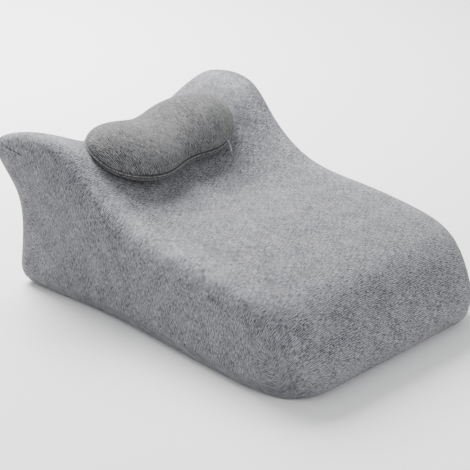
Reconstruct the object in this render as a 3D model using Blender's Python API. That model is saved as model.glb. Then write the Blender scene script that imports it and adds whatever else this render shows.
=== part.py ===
"""Wedge pillow with a head cushion: a foam wedge in a stretched knit cover, dished between two horns at its
high end, and a small kidney-shaped cushion lying on its slope. Metres, +Z up. +Y is the high end."""

from collections import namedtuple
from math import cos, pi, radians, sin, tan

import bpy
import numpy as np
from mathutils import Vector
from mathutils.bvhtree import BVHTree

# Driving sizes of the wedge. Brow is the height over which its outline counts as top and not as nose.
BASE_LENGTH = 0.739
NOMINAL_WIDTH = 0.5
HORN_HEIGHT = 0.3125
HORN_LEAN = 0.058
DISH_DEPTH = 0.0905
DISH_POWER = 1.34
FOOT_RADIUS = 0.0345
BROW_HEIGHT = 0.115
CORNER_X = 0.085
CORNER_Y = 0.151

# Where the outline of the wedge's side and that of its middle pass, from the back foot to the nose's foot.
# A run is counted from the back foot towards the nose. Round is the radius of the long edge there.
# The middle is the side's height less a share of the dish, or plus the crown of the nose.
Section = namedtuple("Section", "run_edge z_edge run_mid z_mid round")
OUTLINE = [
    Section(-0.003, FOOT_RADIUS, -0.003, FOOT_RADIUS, 0.030),
    Section(0.002, 0.167, 0.000, 0.152, 0.038),
    Section(-0.0275, 0.217, -0.043, 0.150, 0.032),
    Section(-HORN_LEAN, 0.273, -0.0695, 0.186, 0.021),
    Section(-0.009, 0.307, -0.031, 0.2235, 0.035),
    Section(0.1025, HORN_HEIGHT, 0.1045, HORN_HEIGHT - 0.75 * DISH_DEPTH, 0.042),
    Section(0.180, 0.2575, 0.190, 0.2575 - 0.45 * DISH_DEPTH, 0.0495),
    Section(0.293, 0.201, 0.293, 0.201 - 0.12 * DISH_DEPTH, 0.0575),
    Section(0.440, 0.186, 0.440, 0.192, 0.053),
    Section(0.629, 0.163, 0.629, 0.173, 0.0485),
    Section(0.7045, 0.127, 0.7035, 0.1365, 0.044),
    Section(0.7445, 0.075, 0.7445, 0.0585, 0.040),
    Section(0.7435, FOOT_RADIUS, 0.7435, FOOT_RADIUS, 0.028),
]

# Width at shares of the base's length, from the back. It keeps its end values beyond them.
Width = namedtuple("Width", "share width")
SHARE_MARGIN = 0.1
WIDTHS = [
    Width(-SHARE_MARGIN, 0.567),
    Width(0.0, 0.567),
    Width(0.3, 0.528),
    Width(0.6, 0.530),
    Width(1.0, 0.534),
    Width(1.0 + SHARE_MARGIN, 0.534),
]

# Faces of the wedge: up each end, along the top, in each foot's arc, round each long edge and across
FACES_END = 15
FACES_TOP = 38
FACES_FOOT = 3
FACES_ROUND = 4
FACES_ACROSS = 16
SPLINE_SAMPLES = 400

# How fast a side lets go of the bulges of its two ends
SIDE_FADE = 3

# Driving sizes of the head cushion. Seam is the height of its rim over the slope. The waist draws it in and
# the saddle lowers it halfway along, each over its reach. Grow is how much thicker its +X end is.
HEAD_LENGTH = 0.3655
HEAD_HALF_WIDTH = 0.107
HEAD_THICK = 0.080
HEAD_SEAM = 0.025
HEAD_FULLNESS = 2.2
HEAD_BLUNTNESS = 0.043
HEAD_WAIST = 0.242
HEAD_WAIST_REACH = 0.37
HEAD_SADDLE = 0.265
HEAD_SADDLE_REACH = 0.42
HEAD_GROW = 0.088
FACES_HEAD = 24

# Where the head cushion lies: its centre on the slope, its turn in plan and its tip towards the nose.
# Follow is how far its rim sinks and rises with the slope. The least seam is its least height over it.
HEAD_X = -0.019
HEAD_Y = 0.2127
HEAD_TURN = radians(7.8)
HEAD_TIP = radians(-0.6)
HEAD_FOLLOW = 0.515
HEAD_LEAST_SEAM = 0.008
UNDER_FALL = 1.3
SEAT_GAP = 0.0008

# How the seat is found: half the distance over which the slope is measured, and the height that a ray falls
SLOPE_STEP = 0.06
RAY_START = 0.3

# The zip in the cushion's rim seam, as angles round the rim
ZIP_START = radians(-140)
ZIP_END = radians(-53)
ZIP_HEIGHT = 0.004
ZIP_THICK = 0.0012

# Its pull: how many points it hangs from the zip's end, how far its head stands over the seam and out
# from it, and how far its foot swings out
PULL_STEP = 2
PULL_HEAD = 0.002
PULL_STAND = 0.0020
PULL_SWING = radians(24)
PULL_LENGTH = 0.024
PULL_WIDTH = 0.005
PULL_THICK = 0.0016
FACES_PULL_END = 8

# Clearance between the cushion, its zip and the zip's pull
GAP = 0.0003


def natural_spline(knots, values, at):
    """Cubic curve through values at knots, straight at both ends."""
    gaps = np.diff(knots)
    system = np.eye(len(knots))
    right = np.zeros(values.shape)
    for i in range(1, len(knots) - 1):
        system[i, i - 1:i + 2] = gaps[i - 1], 2 * (gaps[i - 1] + gaps[i]), gaps[i]
        right[i] = 6 * ((values[i + 1] - values[i]) / gaps[i] - (values[i] - values[i - 1]) / gaps[i - 1])
    bend = np.linalg.solve(system, right)
    k = np.clip(np.searchsorted(knots, at, side="right") - 1, 0, len(knots) - 2)
    shape = (-1,) + (1,) * (values.ndim - 1)
    past = (at - knots[k]).reshape(shape)
    left = (knots[k + 1] - at).reshape(shape)
    gap = gaps[k].reshape(shape)
    return (bend[k] * left ** 3 / (6 * gap) + bend[k + 1] * past ** 3 / (6 * gap)
            + (values[k] / gap - bend[k] * gap / 6) * left
            + (values[k + 1] / gap - bend[k + 1] * gap / 6) * past)


def smooth_rows(rows, counts):
    """Rows along a smooth curve through the given ones, by the length of their first two columns.

    The curve is cut at its furthest +Y, which is a horn's tip, and where it turns down at the nose. Each
    stretch is divided evenly into its count of steps.
    """
    steps = np.linalg.norm(np.diff(rows[:, :2], axis=0), axis=1)
    knots = np.concatenate([[0], np.cumsum(np.sqrt(steps))])
    fine = natural_spline(knots, rows, np.linspace(0, knots[-1], SPLINE_SAMPLES))
    run = np.concatenate([[0], np.cumsum(np.linalg.norm(np.diff(fine[:, :2], axis=0), axis=1))])
    tip = fine[:, 0].argmax()
    brow = np.flatnonzero(fine[:, 1] > BROW_HEIGHT)[-1]
    cuts = run[[0, tip, brow, -1]]
    even = np.concatenate([np.linspace(low, high, count + 1)[:-1]
                           for low, high, count in zip(cuts[:-1], cuts[1:], counts)] + [cuts[-1:]])
    return np.stack([np.interp(even, run, column) for column in fine.T], axis=1)


def outline_loop():
    """Rows like OUTLINE's, with y for run, once round the wedge: up its back, over and along its base."""
    rows = np.array([(BASE_LENGTH / 2 - s.run_edge, s.z_edge, BASE_LENGTH / 2 - s.run_mid, s.z_mid, s.round)
                     for s in OUTLINE])
    upper = smooth_rows(rows, (FACES_END - FACES_FOOT, FACES_TOP, FACES_END - FACES_FOOT))
    angles = np.radians(np.linspace(-90, 0, FACES_FOOT + 1)[:-1])
    back_foot = np.tile(upper[0], (FACES_FOOT, 1))
    nose_foot = np.tile(upper[-1], (FACES_FOOT, 1))
    for foot, turn, toward in ((back_foot, angles, 1), (nose_foot, angles[::-1], -1)):
        foot[:, [0, 2]] += toward * FOOT_RADIUS * (np.cos(turn) - 1)[:, None]
        foot[:, [1, 3]] = FOOT_RADIUS * (1 + np.sin(turn))[:, None]
    share = np.linspace(0, 1, FACES_TOP + 1)[1:-1, None]
    base = nose_foot[-1] * (1 - share) + back_foot[0] * share
    return np.concatenate([back_foot, upper, nose_foot, base])


def wedge_strip(loop):
    """Points of the wedge from side to side, over the loop: a grid of columns by rows of the loop.

    Across the middle a column runs level. At each side it turns down a quarter round of the row's radius.
    The outline blends from the middle's to the edge's by half of one minus the cosine of pi times the share
    of the half width, raised to DISH_POWER.
    """
    along = np.roll(loop[:, :2], -1, axis=0) - np.roll(loop[:, :2], 1, axis=0)
    along /= np.linalg.norm(along, axis=1)[:, None]
    outward = np.stack([along[:, 1], -along[:, 0]], axis=1)
    radius = loop[:, 4] / NOMINAL_WIDTH
    quarter = np.radians(np.linspace(0, 90, FACES_ROUND + 1))
    inner = np.linspace(-1, 1, FACES_ACROSS + 1)[:, None] * (0.5 - radius)
    right = 0.5 - radius + radius * np.sin(quarter)[1:, None]
    x = np.concatenate([-right[::-1], inner, right])
    turned = np.concatenate([quarter[:0:-1], np.zeros(FACES_ACROSS + 1), quarter[1:]])
    inset = loop[:, 4] * (1 - np.cos(turned))[:, None]
    blend = 0.5 - 0.5 * np.cos(pi * np.abs(2 * x) ** DISH_POWER)
    y = loop[:, 2] * (1 - blend) + loop[:, 0] * blend - outward[:, 0] * inset
    z = loop[:, 3] * (1 - blend) + loop[:, 1] * blend - outward[:, 1] * inset
    return np.stack([x, y, z], axis=2)


def side_points(ring):
    """Points of a side between the rim's four stretches: back to nose, base to top.

    They lie straight between base and top, moved by how far each end departs from its own chord. That fades
    out away from the end by the power SIDE_FADE.
    """
    back = ring[:FACES_END + 1][None]
    top = ring[FACES_END:FACES_END + FACES_TOP + 1][:, None]
    nose = ring[FACES_END + FACES_TOP:2 * FACES_END + FACES_TOP + 1][::-1][None]
    base = np.concatenate([ring[2 * FACES_END + FACES_TOP:], ring[:1]])[::-1][:, None]
    a = np.linspace(0, 1, FACES_TOP + 1)[:, None, None]
    c = np.linspace(0, 1, FACES_END + 1)[None, :, None]
    from_back = back - (1 - c) * base[:1] - c * top[:1]
    from_nose = nose - (1 - c) * base[-1:] - c * top[-1:]
    return (1 - c) * base + c * top + (1 - a) ** SIDE_FADE * from_back + a ** SIDE_FADE * from_nose


def side_numbers(row, first_inner):
    """Vertex numbers of a side patch: its rim is a column of the strip, its inside is new points."""
    numbers = np.empty((FACES_TOP + 1, FACES_END + 1), int)
    numbers[0] = row[:FACES_END + 1]
    numbers[:, -1] = row[FACES_END:FACES_END + FACES_TOP + 1]
    numbers[-1] = row[FACES_END + FACES_TOP:2 * FACES_END + FACES_TOP + 1][::-1]
    numbers[:, 0] = np.concatenate([row[2 * FACES_END + FACES_TOP:], row[:1]])[::-1]
    inside = (FACES_TOP - 1, FACES_END - 1)
    numbers[1:-1, 1:-1] = first_inner + np.arange(inside[0] * inside[1]).reshape(inside)
    return numbers


def quads(numbers, flip=False):
    """Four-sided faces between neighbours of a grid of vertex numbers."""
    faces = np.stack([numbers[:-1, :-1], numbers[1:, :-1], numbers[1:, 1:], numbers[:-1, 1:]], axis=-1)
    faces = faces.reshape(-1, 4)
    return faces[:, ::-1] if flip else faces


def round_nose_corners(points):
    """Rounds the nose's upright corners in plan: in each corner's box the square is bent onto a disc."""
    start_x = NOMINAL_WIDTH / 2 - CORNER_X
    start_y = BASE_LENGTH / 2 - CORNER_Y
    a = np.clip((np.abs(points[:, 0]) * NOMINAL_WIDTH - start_x) / CORNER_X, 0, 1)
    c = np.clip((-points[:, 1] - start_y) / CORNER_Y, 0, 1)
    points[:, 0] += np.sign(points[:, 0]) * a * (np.sqrt(1 - c ** 2 / 2) - 1) * CORNER_X / NOMINAL_WIDTH
    points[:, 1] -= c * (np.sqrt(1 - a ** 2 / 2) - 1) * CORNER_Y


def set_widths(points):
    """Gives x its width in metres: drawn in between the ends."""
    share = np.clip(0.5 - points[:, 1] / BASE_LENGTH, -SHARE_MARGIN, 1 + SHARE_MARGIN)
    table = np.array(WIDTHS)
    width = natural_spline(table[:, 0], table[:, 1], share)
    points[:, 0] *= width


def wedge_surface():
    """Points and faces of the wedge, its box centred on the origin and standing on z = 0."""
    loop = outline_loop()
    strip = wedge_strip(loop)
    numbers = np.arange(strip.shape[0] * strip.shape[1]).reshape(strip.shape[:2])
    closed = np.concatenate([numbers, numbers[:, :1]], axis=1)
    points = [strip.reshape(-1, 3)]
    faces = [quads(closed, flip=True)]
    first_inner = numbers.size
    for column, flip in ((0, False), (-1, True)):
        inner = side_points(strip[column])[1:-1, 1:-1].reshape(-1, 3)
        faces.append(quads(side_numbers(numbers[column], first_inner), flip))
        points.append(inner)
        first_inner += len(inner)
    points = np.concatenate(points)
    round_nose_corners(points)
    set_widths(points)
    points[:, 1] -= (points[:, 1].min() + points[:, 1].max()) / 2
    return points, np.concatenate(faces)


def new_object(name, points, faces, material, smooth=True):
    """A mesh object of these points and faces, shaded smooth, with its own material."""
    mesh = bpy.data.meshes.new(name)
    mesh.from_pydata(np.asarray(points).tolist(), [], [list(map(int, face)) for face in faces])
    mesh.validate()
    if smooth:
        mesh.shade_smooth()
    mesh.materials.append(material)
    made = bpy.data.objects.new(name, mesh)
    bpy.context.scene.collection.objects.link(made)
    return made


def new_material(name, color, roughness, sheen=0.0):
    material = bpy.data.materials.new(name)
    material.use_nodes = True
    shader = material.node_tree.nodes["Principled BSDF"]
    shader.inputs["Base Color"].default_value = (*color, 1)
    shader.inputs["Roughness"].default_value = roughness
    shader.inputs["Metallic"].default_value = 0.0
    shader.inputs["Sheen Weight"].default_value = sheen
    return material


class Seat:
    """Where the head cushion lies on the slope, and how far the slope departs from a plane there."""

    def __init__(self, points, faces):
        self.tree = BVHTree.FromPolygons(points.tolist(), faces.tolist())
        rise_x = (self.height(HEAD_X + SLOPE_STEP, HEAD_Y) - self.height(HEAD_X - SLOPE_STEP, HEAD_Y))
        rise_y = (self.height(HEAD_X, HEAD_Y + SLOPE_STEP) - self.height(HEAD_X, HEAD_Y - SLOPE_STEP))
        self.normal = Vector((-rise_x, -rise_y, 2 * SLOPE_STEP)).normalized()
        turned = Vector((cos(HEAD_TURN), sin(HEAD_TURN), 0))
        self.long = (turned - self.normal * turned.dot(self.normal)).normalized()
        self.short = self.normal.cross(self.long)
        self.origin = Vector((HEAD_X, HEAD_Y, self.height(HEAD_X, HEAD_Y)))

    def height(self, x, y):
        """Height of the wedge's upper surface over a point of the floor."""
        return self.tree.ray_cast(Vector((x, y, HORN_HEIGHT + RAY_START)), Vector((0, 0, -1)))[0].z

    def offset(self, x, y):
        """How far the slope stands above the seat's plane, measured along the plane's normal."""
        start = self.origin + self.long * x + self.short * y + self.normal * RAY_START
        hit = self.tree.ray_cast(start, -self.normal)[0]
        return RAY_START - (start - hit).length

    def place(self, x, y, up):
        """World points of plane coordinates and heights over the plane."""
        axes = [np.array(axis) for axis in (self.origin, self.long, self.short, self.normal)]
        return axes[0] + x[..., None] * axes[1] + y[..., None] * axes[2] + up[..., None] * axes[3]


def head_plan(disc_x, disc_y):
    """Plan of the head cushion from points of a unit disc: blunt ends, two lobes and a waist between them."""
    x = disc_x + HEAD_BLUNTNESS * (disc_x - disc_x ** 3)
    waist = 1 - HEAD_WAIST * np.exp(-(disc_x / HEAD_WAIST_REACH) ** 2)
    y = disc_y * HEAD_HALF_WIDTH * waist
    return x * HEAD_LENGTH / 2, y


def seam_rings(grid):
    """Vertex numbers of the rim and of the two rings inside it, matched point by point."""
    last = len(grid) - 2
    path = [(last, j) for j in range(1, last)] + [(i, last) for i in range(last, 1, -1)]
    path += [(1, j) for j in range(last, 1, -1)] + [(i, 1) for i in range(1, last)]
    i, j = np.array(path).T
    step_i = (i == last).astype(int) - (i == 1)
    step_j = (j == last).astype(int) - (j == 1)
    return [grid[i + step_i, j + step_j], grid[i, j], grid[i - step_i, j - step_j]]


def head_surface(seat):
    """Points and faces of the head cushion, and the points of the rings beside its zip.

    A square grid is bent onto a disc whose radius is the sine of a quarter turn times the share outwards.
    The top stands over the rim by the full height times (1 - radius ** fullness) ** 0.5.
    The underside falls from the rim in the same way, until the slope stops it.
    """
    side = np.linspace(-1, 1, FACES_HEAD + 1)
    a, b = np.meshgrid(side, side, indexing="ij")
    disc_x, disc_y = a * np.sqrt(1 - b * b / 2), b * np.sqrt(1 - a * a / 2)
    share = np.hypot(disc_x, disc_y)
    radius = np.sin(pi / 2 * np.minimum(share, 1))
    scale = np.where(share > 0, radius / np.maximum(share, 1e-9), 1)
    x, y = head_plan(disc_x * scale, disc_y * scale)
    crown = np.sqrt(np.clip(1 - radius ** HEAD_FULLNESS, 0, 1))
    slope = np.vectorize(seat.offset)(x, y)
    rim = np.maximum(HEAD_SEAM + slope * HEAD_FOLLOW + tan(HEAD_TIP) * y, slope + HEAD_LEAST_SEAM)
    along = 2 * x / HEAD_LENGTH
    thick = HEAD_THICK * (1 + HEAD_GROW * along - HEAD_SADDLE * np.exp(-(along / HEAD_SADDLE_REACH) ** 2))
    top = seat.place(x, y, rim + (thick - HEAD_SEAM) * crown)
    under = seat.place(x, y, np.maximum(rim - HEAD_SEAM * crown * UNDER_FALL, slope + SEAT_GAP))
    upper = np.arange(a.size).reshape(a.shape)
    lower = upper.copy()
    lower[1:-1, 1:-1] = a.size + np.arange((FACES_HEAD - 1) ** 2).reshape(FACES_HEAD - 1, -1)
    points = np.concatenate([top.reshape(-1, 3), under[1:-1, 1:-1].reshape(-1, 3)])
    faces = np.concatenate([quads(upper), quads(lower, flip=True)])
    return points, faces, [points[ring] for ring in seam_rings(upper)]


def seam_frames(rings, seat):
    """Points of the zip's seam, one face up from the rim, and the directions out, along and up there."""
    rim, seam, above = rings
    from_origin = seam - np.array(seat.origin)
    angle = np.arctan2(from_origin @ np.array(seat.short) / HEAD_HALF_WIDTH,
                       from_origin @ np.array(seat.long) / (HEAD_LENGTH / 2))
    along = np.roll(seam, -1, axis=0) - np.roll(seam, 1, axis=0)
    outward = np.cross(along, above - rim)
    up = np.cross(outward, along)
    chosen = np.flatnonzero((angle > ZIP_START) & (angle < ZIP_END))
    chosen = chosen[np.argsort(angle[chosen])]
    unit = [way[chosen] / np.linalg.norm(way[chosen], axis=1)[:, None] for way in (outward, along, up)]
    return seam[chosen], *unit


def zip_surface(rings, seat):
    """The zip as a strip along its seam: one rectangle carried from point to point."""
    seam, outward, _, up = seam_frames(rings, seat)
    half = up * ZIP_HEIGHT / 2
    near, far = seam + outward * GAP, seam + outward * (GAP + ZIP_THICK)
    section = np.stack([near - half, far - half, far + half, near + half], axis=1)
    numbers = np.arange(len(seam) * 4).reshape(-1, 4)
    faces = quads(np.concatenate([numbers, numbers[:, :1]], axis=1)).tolist()
    faces += [numbers[0].tolist(), numbers[-1, ::-1].tolist()]
    return section.reshape(-1, 3), faces


def pull_surface(rings, seat):
    """The zip's pull: a plate with round ends that hangs from the zip's end, its foot swung out."""
    seam, outward, _, _ = (rows[-PULL_STEP] for rows in seam_frames(rings, seat))
    up = np.array(seat.normal)
    out = outward - up * (outward @ up)
    out /= np.linalg.norm(out)
    side = np.cross(up, out)
    down = out * sin(PULL_SWING) - up * cos(PULL_SWING)
    face = np.cross(down, side)
    turn = np.linspace(0, pi, FACES_PULL_END + 1)
    reach = PULL_LENGTH / 2 - PULL_WIDTH / 2
    across = np.concatenate([np.cos(turn), -np.cos(turn)]) * PULL_WIDTH / 2
    length = np.concatenate([reach + np.sin(turn) * PULL_WIDTH / 2, -reach - np.sin(turn) * PULL_WIDTH / 2])
    middle = seam + out * PULL_STAND + up * PULL_HEAD + down * PULL_LENGTH / 2
    plate = middle + across[:, None] * side - length[:, None] * down
    count = len(plate)
    points = np.concatenate([plate, plate + face * PULL_THICK])
    faces = [list(range(count - 1, -1, -1)), list(range(count, 2 * count))]
    faces += [[i, (i + 1) % count, (i + 1) % count + count, i + count] for i in range(count)]
    return points, faces


def main():
    for old in list(bpy.data.objects):
        bpy.data.objects.remove(old)
    knit = new_material("knit_wedge", (0.34, 0.34, 0.36), 0.9, sheen=0.3)
    head_knit = new_material("knit_head", (0.33, 0.33, 0.34), 0.9, sheen=0.3)
    tape = new_material("zip_tape", (0.06, 0.06, 0.07), 0.6)
    pull_grey = new_material("pull_grey", (0.42, 0.42, 0.44), 0.4)

    points, faces = wedge_surface()
    new_object("wedge_cushion", points, faces, knit)
    seat = Seat(points, faces)
    points, faces, rings = head_surface(seat)
    new_object("head_cushion", points, faces, head_knit)
    new_object("head_zip", *zip_surface(rings, seat), tape, smooth=False)
    new_object("zip_pull", *pull_surface(rings, seat), pull_grey, smooth=False)


main()
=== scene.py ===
"""Dresses the wedge pillow: a foam wedge in a stretched heather knit, with a head cushion on its slope.

The surfaces are worked out here again, finer than the CAD's, from the same driving sizes.
Metres, +Z up. +Y is the high end, and the camera looks from the nose and from -X.
"""
from collections import namedtuple
from math import cos, pi, radians, sin, tan

import bmesh
import bpy
import numpy as np
from mathutils import Matrix, Vector
from mathutils.bvhtree import BVHTree


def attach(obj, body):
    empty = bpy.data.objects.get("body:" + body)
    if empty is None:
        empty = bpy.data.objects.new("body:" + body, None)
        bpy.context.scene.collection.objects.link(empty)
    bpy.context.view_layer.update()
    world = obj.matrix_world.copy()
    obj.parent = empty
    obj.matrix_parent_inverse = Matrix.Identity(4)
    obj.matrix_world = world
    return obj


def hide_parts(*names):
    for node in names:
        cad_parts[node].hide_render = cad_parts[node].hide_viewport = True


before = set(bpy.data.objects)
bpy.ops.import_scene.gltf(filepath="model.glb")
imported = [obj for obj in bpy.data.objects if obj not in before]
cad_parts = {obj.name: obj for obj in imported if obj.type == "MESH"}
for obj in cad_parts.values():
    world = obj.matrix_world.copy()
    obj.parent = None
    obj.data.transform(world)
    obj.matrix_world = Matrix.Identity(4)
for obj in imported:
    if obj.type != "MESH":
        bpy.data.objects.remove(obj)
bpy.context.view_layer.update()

# The wedge's driving sizes, as in the CAD. The nominal width turns sizes across it into shares of its width.
# Brow is the height over which its outline counts as top and not as nose. Corner x and y are the nose's
# corners in plan. Side fade is how fast a side lets go of the bulges of its two ends.
BASE_LENGTH = 0.739
NOMINAL_WIDTH = 0.5
HORN_HEIGHT = 0.3125
HORN_LEAN = 0.058
DISH_DEPTH = 0.0905
DISH_POWER = 1.34
FOOT_RADIUS = 0.0345
BROW_HEIGHT = 0.115
CORNER_X = 0.085
CORNER_Y = 0.151
SIDE_FADE = 3
# Under 1 it makes the long edges tighter than the CAD's quarter rounds
EDGE_POWER = 0.66
SPLINE_SAMPLES = 800

# Where the outline of the wedge's side and that of its middle pass, from the back foot to the nose's foot.
# A run is counted from the back foot towards the nose. Round is the radius of the long edge there.
# On the upper slope the middle's height is the side's less a share of the dish.
Section = namedtuple("Section", "run_edge z_edge run_mid z_mid round")
OUTLINE = [
    Section(-0.003, FOOT_RADIUS, -0.003, FOOT_RADIUS, 0.030),
    Section(0.002, 0.167, 0.000, 0.152, 0.038),
    Section(-0.0275, 0.217, -0.043, 0.150, 0.032),
    Section(-HORN_LEAN, 0.273, -0.0695, 0.186, 0.021),
    Section(-0.009, 0.307, -0.031, 0.2235, 0.035),
    Section(0.1025, HORN_HEIGHT, 0.1045, HORN_HEIGHT - 0.75 * DISH_DEPTH, 0.042),
    Section(0.180, 0.2575, 0.190, 0.2575 - 0.45 * DISH_DEPTH, 0.0495),
    Section(0.293, 0.201, 0.293, 0.201 - 0.12 * DISH_DEPTH, 0.0575),
    Section(0.440, 0.186, 0.440, 0.192, 0.053),
    Section(0.629, 0.163, 0.629, 0.173, 0.0485),
    Section(0.7045, 0.127, 0.7035, 0.1365, 0.044),
    Section(0.7445, 0.075, 0.7445, 0.0585, 0.040),
    Section(0.7435, FOOT_RADIUS, 0.7435, FOOT_RADIUS, 0.028),
]

# Width at shares of the base's length, from the back. A smooth curve passes through them, and stops a margin
# beyond both ends of the base.
Width = namedtuple("Width", "share width")
SHARE_MARGIN = 0.1
WIDTHS = [
    Width(-SHARE_MARGIN, 0.567),
    Width(0.0, 0.567),
    Width(0.3, 0.528),
    Width(0.6, 0.530),
    Width(1.0, 0.534),
    Width(1.0 + SHARE_MARGIN, 0.534),
]

# Faces of the wedge before it is subdivided once: up each end, along the top, in each foot's arc, round each
# long edge and across
FACES_END = 26
FACES_TOP = 80
FACES_FOOT = 3
FACES_ROUND = 5
FACES_ACROSS = 46

# How far round its upright corners the knit of an end runs on into that of the side
TURN_REACH = 0.06

# Painted light and shade on the knit: a painted highlight in a band inside each long edge, painted shade
# down the sides. How far in from a side's edge the highlight band and the end of the painted shade lie, over
# what length the shade ends, the band's width, and the two strengths
PAINTED_HIGHLIGHT_INSET = 0.072
PAINTED_SHADE_INSET = 0.050
PAINTED_SHADE_EASE = 0.022
PAINTED_HIGHLIGHT_WIDTH = 0.027
PAINTED_HIGHLIGHT = 0.36
PAINTED_SIDE_SHADE = 0.12
# Where the painted highlight band starts, in rows under the horn's tip, and the shares of the top over which
# it comes and goes
PAINTED_HIGHLIGHT_ROWS = 4
PAINTED_HIGHLIGHT_START = 0.06
PAINTED_HIGHLIGHT_FADE = 0.40
# At the horn's tip both lie nearer the edge, by this factor, up to this share of the top
PAINTED_SHADING_TIP = 0.35
PAINTED_SHADING_GROW = 0.20

# The head cushion's driving sizes, as in the CAD. Seam is the height of its rim over the slope. Fullness and
# bluntness shape its crown and its ends. The waist draws it in and the saddle lowers it halfway along, each
# over its reach. Grow is how much thicker its +X end is.
HEAD_LENGTH = 0.3655
HEAD_HALF_WIDTH = 0.107
HEAD_THICK = 0.080
HEAD_SEAM = 0.025
HEAD_FULLNESS = 2.2
HEAD_BLUNTNESS = 0.043
HEAD_WAIST = 0.242
HEAD_WAIST_REACH = 0.37
HEAD_SADDLE = 0.265
HEAD_SADDLE_REACH = 0.42
HEAD_GROW = 0.088
# Faces along and across each of its panels before they are subdivided once
FACES_HEAD = 48

# Where it lies, as in the CAD: its centre on the slope, its turn in plan and its tip about its own length.
# Follow is how far its rim sinks and rises with the slope, and the least seam is the rim's least height over
# that. Under fall is how far its underside falls, in heights of the seam. The seat gap is the underside's
# least height over the slope.
HEAD_X = -0.019
HEAD_Y = 0.2127
HEAD_TURN = radians(7.8)
HEAD_TIP = radians(-0.6)
HEAD_FOLLOW = 0.515
HEAD_LEAST_SEAM = 0.008
UNDER_FALL = 1.3
SEAT_GAP = 0.0008
# Half the distance over which the slope is measured, and how far up a ray starts that falls on it
SLOPE_STEP = 0.06
RAY_START = 0.3

# The head cushion's welt in section: how far each point lies out of the rim and how far under it
WELT = [(-0.0022, 0.0003), (-0.0012, 0.0013), (0.0008, 0.0014), (0.0019, 0.0024), (0.0019, 0.0036),
        (0.0008, 0.0046), (-0.0012, 0.0048), (0.0, 0.0056)]
# Painted shade in the grooves beside it and a painted highlight on its crest: the colour's factor by ring of
# points from the top panel's edge
GROOVE_PAINTED_SHADING = ((0, 0.7), (1, 0.22), (2, 0.45), (3, 1.2), (4, 1.5), (5, 1.3), (7, 0.15), (8, 0.3))

# The zip, whose end angles are the CAD's. The tape is a section of (out, up) pairs. A tooth lies out and
# lifted from the seam by its own values, raised or lowered in turn. Halves are half sizes out, along and up.
ZIP_START = radians(-140)
ZIP_END = radians(-53)
TAPE = [(0.0002, -0.0002), (0.0008, -0.0001), (0.0009, 0.0021), (0.0003, 0.0022)]
TOOTH_PITCH = 0.0022
TOOTH_OUT = 0.0010
TOOTH_LIFT = 0.0010
TOOTH_RISE = 0.0003
TOOTH_HALVES = (0.0003, 0.0005, 0.0006)
SLIDER_OUT = 0.0018
SLIDER_HALVES = (0.0010, 0.0030, 0.0018)
# The pull, which stands out from the slider, hangs down swung out and is bent at its foot, and its slot
PULL_SWING = radians(24)
PULL_LENGTH = 0.021
PULL_WIDTH = 0.0040
PULL_THICK = 0.0012
PULL_STAND = 0.0020
PULL_BEND = 0.0012
PULL_STEPS = 8
SLOT_TOP = 0.0016
SLOT_LENGTH = 0.0085
SLOT_WIDTH = 0.0018

# The head cushion's cloth simulation, and how far it may move a point
BLOW_QUALITY = 6
BLOW_MASS = 0.3
BLOW_PRESSURE = 4.0
BLOW_STIFFNESS = 15.0
BLOW_BENDING = 0.05
BLOW_FRAMES = 20
BLOW_CAP = 0.005

# The camera, as fitted to the photograph, whose side has PHOTO_SIZE pixels
PHOTO_SIZE = 470
SENSOR = 36.0
FOCAL_PIXELS = 1600.0
CAMERA_AZIMUTH = radians(-44.457)
CAMERA_ELEVATION = radians(24.944)
CAMERA_DISTANCE = 3.1001
# Where the floor point under the middle of the base shows in the photograph, and how far that lies from the
# frame's origin along Y
AIM_PIXEL = (252.28, 295.14)
AIM_Y = -0.03086

# The heather knit's pattern: sizes of its streaks and patches, across and along them, of its stitches and of
# its rows. Then over which stretch the rows wander and by what angle, the streaks' detail, and the share of
# each in the pattern.
LONG_STREAK = (0.0013, 0.0125)
SHORT_STREAK = (0.0008, 0.0050)
PATCH = (0.030, 0.050)
STITCH = (0.0011, 0.0016)
ROW = 0.0032
ROW_WANDER = (0.012, 0.034)
ROW_SWING = 3 * pi
STREAK_DETAIL = 1.0
LONG_SHARE = 0.36
SHORT_SHARE = 0.46
PATCH_SHARE = 0.09
WEDGE_ROWS = 0.09
HEAD_ROWS = 0.14
# How far each knit is stretched along its streaks
WEDGE_STRETCH = 1.0
HEAD_STRETCH = 1.2

# The knit's yarns, from dark to light, and where each lies in the pattern
WEDGE_YARNS = ((0.044, 0.045, 0.051), (0.147, 0.148, 0.161), (0.33, 0.33, 0.348))
HEAD_YARNS = ((0.026, 0.026, 0.028), (0.092, 0.092, 0.094), (0.24, 0.24, 0.24))
YARN_STOPS = (0.43, 0.50, 0.57)
# Its finish, and the height of its relief and the stitches' part in that
KNIT_ROUGHNESS = 0.95
KNIT_SPECULAR = 0.15
KNIT_SHEEN = 0.15
SHEEN_ROUGHNESS = 0.5
BUMP_HEIGHT = 0.0010
STITCH_RELIEF = 0.5

# The darts: where each starts and ends, on the +X side, and how strongly it shows. Then the width of its
# groove, its depth in heights of the knit's bump, the painted shade in its groove, the gathers on each of its
# straight pieces, how many pieces it has, and the reach and depth of the gathers.
Dart = namedtuple("Dart", "start end strength")
DARTS = [Dart((0.270, 0.404, 0.284), (0.2825, 0.308, 0.276), 1.0),
         Dart((0.240, -0.354, 0.070), (0.224, -0.372, 0.008), 0.4)]
DART_WIDTH = 0.0030
DART_DEPTH = 1.8
DART_PAINTED_SHADE = 0.5
DART_GATHERS = 2
DART_PIECES = 4
GATHER_REACH = 0.011
GATHER_DEPTH = 0.9

# Plain finishes: colour and roughness
Finish = namedtuple("Finish", "color roughness")
ZIP_FINISH = Finish((0.035, 0.036, 0.040), 0.55)
PULL_FINISH = Finish((0.36, 0.36, 0.38), 0.40)
FLOOR_PAINT = Finish((0.97, 0.97, 0.97), 0.9)

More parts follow.
